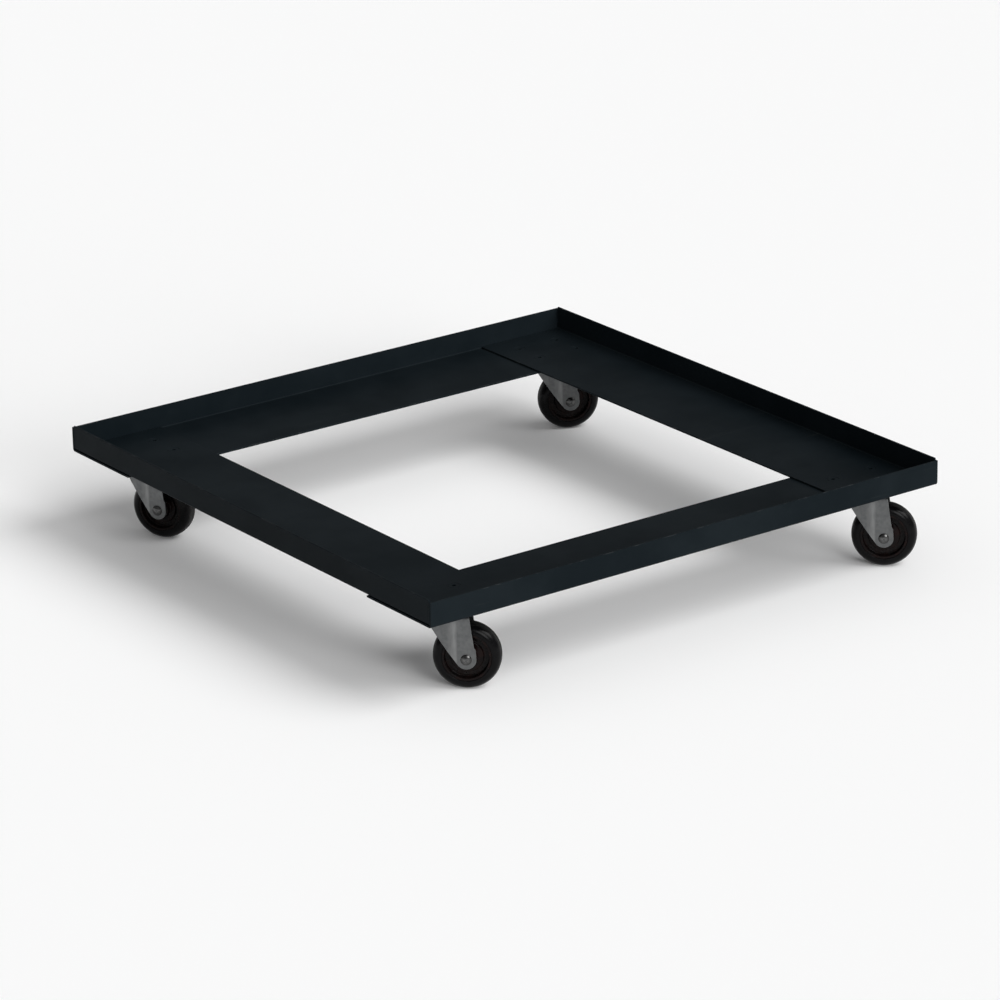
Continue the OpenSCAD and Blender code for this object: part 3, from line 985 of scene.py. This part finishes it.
def add_turned(mesh, corner, name, body, material, node):
    """Gives a turned piece its material, places it at a corner's caster and shows it."""
    keep_own(mesh, Matrix.Translation((-trail, 0, -axle_height)))
    mesh.materials.append(material)
    mesh.transform(caster_places[corner])
    show(f"{corner}_{name}", mesh, f"{corner}_{body}", f"{corner}_{node}")


sleeve_outline = [(RIVET_SHANK, -LEG_IN), (SLEEVE, -LEG_IN), (SLEEVE, LEG_IN), (RIVET_SHANK, LEG_IN)]
for corner in corners:
    rivet = turned(rivet_outline(), closed=False)
    oil_rivet(rivet)
    add_turned(rivet, corner, "closed_rivet", "swivel", steel, "axle_rivet")
    sleeve = turned(sleeve_outline, closed=True)
    add_turned(sleeve, corner, "plain_sleeve", "swivel", zinc, "axle_sleeve")


# Wheel cores: moulded in hard black plastic with a long hub, a stepped web and a rim that the tyre is
# moulded on. They come from a polished mould, with a little brown in the black.
CORE_BORE = 0.00456
CORE_HUB = 0.008
CORE_STEP = 0.01225
CORE_RIM_IN = 0.0165
CORE_RIM = 0.0185
HUB_HALF = 0.0102
STEP_HALF = 0.0055
WEB_HALF = 0.0035
RIM_HALF = 0.0081
ROUNDING_STEPS = 5
RECESS_FADE_IN = (0.0115, 0.0130)
RECESS_FADE_OUT = (0.0170, 0.0160)
CORE_DARK = (0.0020, 0.0017, 0.0018, 1)
CORE_BROWN = (0.0075, 0.0033, 0.0029, 1)
CORE_DUST = (0.026, 0.023, 0.021, 1)
CORE_ROUGHNESS = (0.14, 0.24)
CORE_SPECULAR = 0.10


def axle_radius(tree, coords):
    """The distance from the wheel's axle, in the wheel's own coordinates."""
    flat = put(tree, "ShaderNodeVectorMath", {0: coords, 1: (1, 0, 1)}, operation="MULTIPLY")[0]
    return put(tree, "ShaderNodeVectorMath", {0: flat}, operation="LENGTH")["Value"]


def core_moulding():
    """Hard moulding: brown cloud in the black, dust caught in the web's recess, a polished skin."""
    material, tree, shader = start_finish("Moulded wheel core")
    coords = kept(tree, "own", "Vector")
    cloud = noise(tree, coords, scale=130, detail=4, roughness=0.6)
    colour = blend(tree, spread(tree, cloud, 0.35, 0.7), CORE_DARK, CORE_BROWN)
    radius = axle_radius(tree, coords)
    recess = times(tree, spread(tree, radius, *RECESS_FADE_IN), spread(tree, radius, *RECESS_FADE_OUT))
    specks = noise(tree, coords, scale=600, detail=4, roughness=0.7)
    dust = times(tree, recess, spread(tree, specks, 0.45, 0.75, 0.0, 0.5))
    colour = blend(tree, dust, colour, CORE_DUST)
    haze = noise(tree, coords, scale=240, detail=4)
    gloss = spread(tree, haze, 0.3, 0.7, *CORE_ROUGHNESS)
    grain = noise(tree, coords, scale=1500, detail=2)
    lay(tree, shader, colour, gloss, grain, strength=0.06, distance=0.0001)
    shader.inputs["Specular IOR Level"].default_value = CORE_SPECULAR
    return material


def rounded(points):
    """A closed outline of (radius, width, rounding) corners with each corner turned to an arc."""
    outline = []
    for i, (x, y, rounding) in enumerate(points):
        corner = Vector((x, y))
        before = (Vector(points[i - 1][:2]) - corner).normalized()
        after = (Vector(points[(i + 1) % len(points)][:2]) - corner).normalized()
        half = before.angle(after) / 2
        reach = rounding / math.tan(half)
        middle = corner + (before + after).normalized() * rounding / math.sin(half)
        first, last = corner + before * reach - middle, corner + after * reach - middle
        swing = first.angle_signed(last)
        for k in range(ROUNDING_STEPS + 1):
            arm = first.copy()
            arm.rotate(Matrix.Rotation(-swing * k / ROUNDING_STEPS, 2))
            outline.append(tuple(middle + arm))
    return outline


# One side's corners from the bore out to the rim: radius, half width and rounding.
core_side = [
    (CORE_BORE, HUB_HALF, 0.0002),
    (CORE_HUB, HUB_HALF, 0.0006),
    (CORE_HUB, STEP_HALF, 0.0008),
    (CORE_STEP, STEP_HALF, 0.0006),
    (CORE_STEP, WEB_HALF, 0.0006),
    (CORE_RIM_IN, WEB_HALF, 0.0009),
    (CORE_RIM_IN, RIM_HALF, 0.0004),
    (CORE_RIM, RIM_HALF, 0.0002),
]
core_outline = rounded(core_side + [(r, -w, rounding) for r, w, rounding in reversed(core_side)])
moulding = core_moulding()
for corner in corners:
    core = turned(core_outline, closed=True)
    add_turned(core, corner, "moulded_core", "wheel", moulding, "wheel_core")


# Tyres: hard black rubber moulded on the core, with full round shoulders, a narrow tread, a fine bead
# against the core and the faint line where the mould's halves met.
TYRE_BORE = 0.01855
TYRE_RADIUS = 0.0254
TYRE_HALF = 0.0085
TYRE_SHOULDER = 0.0064
TYRE_BEAD = 0.0002
SHOULDER_STEPS = 14
MOULD_LINE = 0.00012
TREAD_FADE_IN = (0.0243, 0.0253)
RUBBER_DARK = (0.0015, 0.0015, 0.0017, 1)
RUBBER_LIGHT = (0.0030, 0.0030, 0.0033, 1)
TREAD_DUST = (0.024, 0.023, 0.022, 1)
RUBBER_ROUGHNESS = (0.20, 0.50)
RUBBER_SPECULAR = 0.10


def tyre_rubber():
    """Rubber: semi-gloss sides, a scuffed and dusty tread, a fine grain from the mould."""
    material, tree, shader = start_finish("Black tyre rubber")
    coords = kept(tree, "own", "Vector")
    cloud = noise(tree, coords, scale=170, detail=4)
    colour = blend(tree, spread(tree, cloud, 0.35, 0.7), RUBBER_DARK, RUBBER_LIGHT)
    tread = spread(tree, axle_radius(tree, coords), *TREAD_FADE_IN)
    scuffs = noise(tree, coords, scale=1, detail=5, roughness=0.7, stretch=(420, 1500, 420))
    worn = times(tree, tread, spread(tree, scuffs, 0.42, 0.68))
    colour = blend(tree, worn, colour, TREAD_DUST)
    gloss = spread(tree, tread, 0.0, 1.0, *RUBBER_ROUGHNESS)
    grain = noise(tree, coords, scale=2600, detail=3)
    lay(tree, shader, colour, gloss, grain, strength=0.10, distance=0.0001)
    shader.inputs["Specular IOR Level"].default_value = RUBBER_SPECULAR
    return material


def arc(middle, radius, start, end, steps):
    """Points on an arc, from one angle to another in degrees."""
    angles = [math.radians(start + (end - start) * i / steps) for i in range(steps + 1)]
    return [(middle[0] + radius * math.cos(a), middle[1] + radius * math.sin(a)) for a in angles]


def tyre_outline():
    """The tyre's section: bore, bead, round shoulder, tread with its mould line, and back."""
    middle = (TYRE_RADIUS - TYRE_SHOULDER, TYRE_HALF - TYRE_SHOULDER)
    half = [(TYRE_BORE, 0), (TYRE_BORE, TYRE_HALF - TYRE_BEAD), (TYRE_BORE + TYRE_BEAD, TYRE_HALF)]
    half += arc(middle, TYRE_SHOULDER, 90, 0, SHOULDER_STEPS)
    half += [(TYRE_RADIUS, 2 * MOULD_LINE), (TYRE_RADIUS + MOULD_LINE, MOULD_LINE)]
    return half + [(r, -w) for r, w in reversed(half[1:])]


rubber = tyre_rubber()
for corner in corners:
    tyre = turned(tyre_outline(), closed=True)
    add_turned(tyre, corner, "moulded_tyre", "wheel", rubber, "tyre")


# Studio: a plain pale floor, a surround that is brighter overhead, a wide soft lamp high on the right, a
# low fill in front that gives no glare, and a small lamp for the glints. The floor shows from above only,
# so that the tray can be seen from below as well.
FLOOR_SIZE = 40
FLOOR_COLOUR = (0.95, 0.95, 0.95, 1)
FLOOR_ROUGHNESS = 0.9
LAMPS = {
    "High lamp": {"from": (0.42, -0.55, 0.72), "power": 1.85, "spread": math.radians(40), "glossy": True},
    "Front fill": {"from": (0.0, -0.98, 0.20), "power": 1.9, "spread": math.radians(30), "glossy": False},
    "Glint lamp": {"from": (-0.18, -0.89, 0.42), "power": 0.85, "spread": math.radians(26), "glossy": True},
}
SURROUND_COLOUR = (1, 1, 1, 1)
SURROUND_LEVEL = 0.20
SURROUND_OVERHEAD = 0.40


def pale_floor():
    """A matt floor that only its upper side shows."""
    material, tree, shader = start_finish("Pale floor")
    shader.inputs["Base Color"].default_value = FLOOR_COLOUR
    shader.inputs["Roughness"].default_value = FLOOR_ROUGHNESS
    shader.inputs["Specular IOR Level"].default_value = 0.0
    back = put(tree, "ShaderNodeNewGeometry")["Backfacing"]
    clear = put(tree, "ShaderNodeBsdfTransparent")[0]
    seen = put(tree, "ShaderNodeMixShader", {0: back, 1: shader.outputs[0], 2: clear})[0]
    tree.links.new(seen, tree.nodes["Material Output"].inputs["Surface"])
    return material


floor_mesh = bpy.data.meshes.new("floor")
reach = FLOOR_SIZE / 2
floor_corners = [(-reach, -reach, 0), (reach, -reach, 0), (reach, reach, 0), (-reach, reach, 0)]
floor_mesh.from_pydata(floor_corners, [], [(0, 1, 2, 3)])
floor_mesh.materials.append(pale_floor())
floor = add_object("floor", floor_mesh)

for name, kind in LAMPS.items():
    lamp = bpy.data.lights.new(name, "SUN")
    lamp.energy = kind["power"]
    lamp.angle = kind["spread"]
    holder = add_object(name, lamp)
    holder.rotation_euler = (-Vector(kind["from"])).to_track_quat("-Z", "Y").to_euler()
    holder.visible_glossy = kind["glossy"]

world = bpy.data.worlds.new("Surround")
bpy.context.scene.world = world
world.use_nodes = True
surround = world.node_tree.nodes["Background"]
surround.inputs["Color"].default_value = SURROUND_COLOUR
direction = put(world.node_tree, "ShaderNodeTexCoord")["Generated"]
height = put(world.node_tree, "ShaderNodeSeparateXYZ", {0: direction})["Z"]
strength = spread(world.node_tree, height, 0.0, 1.0, SURROUND_LEVEL, SURROUND_OVERHEAD)
world.node_tree.links.new(strength, surround.inputs["Strength"])
bpy.context.scene.view_settings.view_transform = "Standard"


# Camera: where the photograph was taken from, turned to the tray and with a longer lens, so that the
# tray fills the frame.
CAMERA_PLACE = Vector((-2.156, -2.976, 1.398))
CAMERA_AIM = Vector((0, 0, 0.04))
CAMERA_LENS = 180
CAMERA_ROLL = math.radians(-1.03)

camera = bpy.data.cameras.new("Camera")
camera.lens = CAMERA_LENS
camera_holder = add_object("Camera", camera)
camera_holder.location = CAMERA_PLACE
aim = (CAMERA_AIM - CAMERA_PLACE).to_track_quat("-Z", "Y").to_matrix()
camera_holder.rotation_euler = (aim @ Matrix.Rotation(CAMERA_ROLL, 3, "Z")).to_euler()
bpy.context.scene.camera = camera_holder
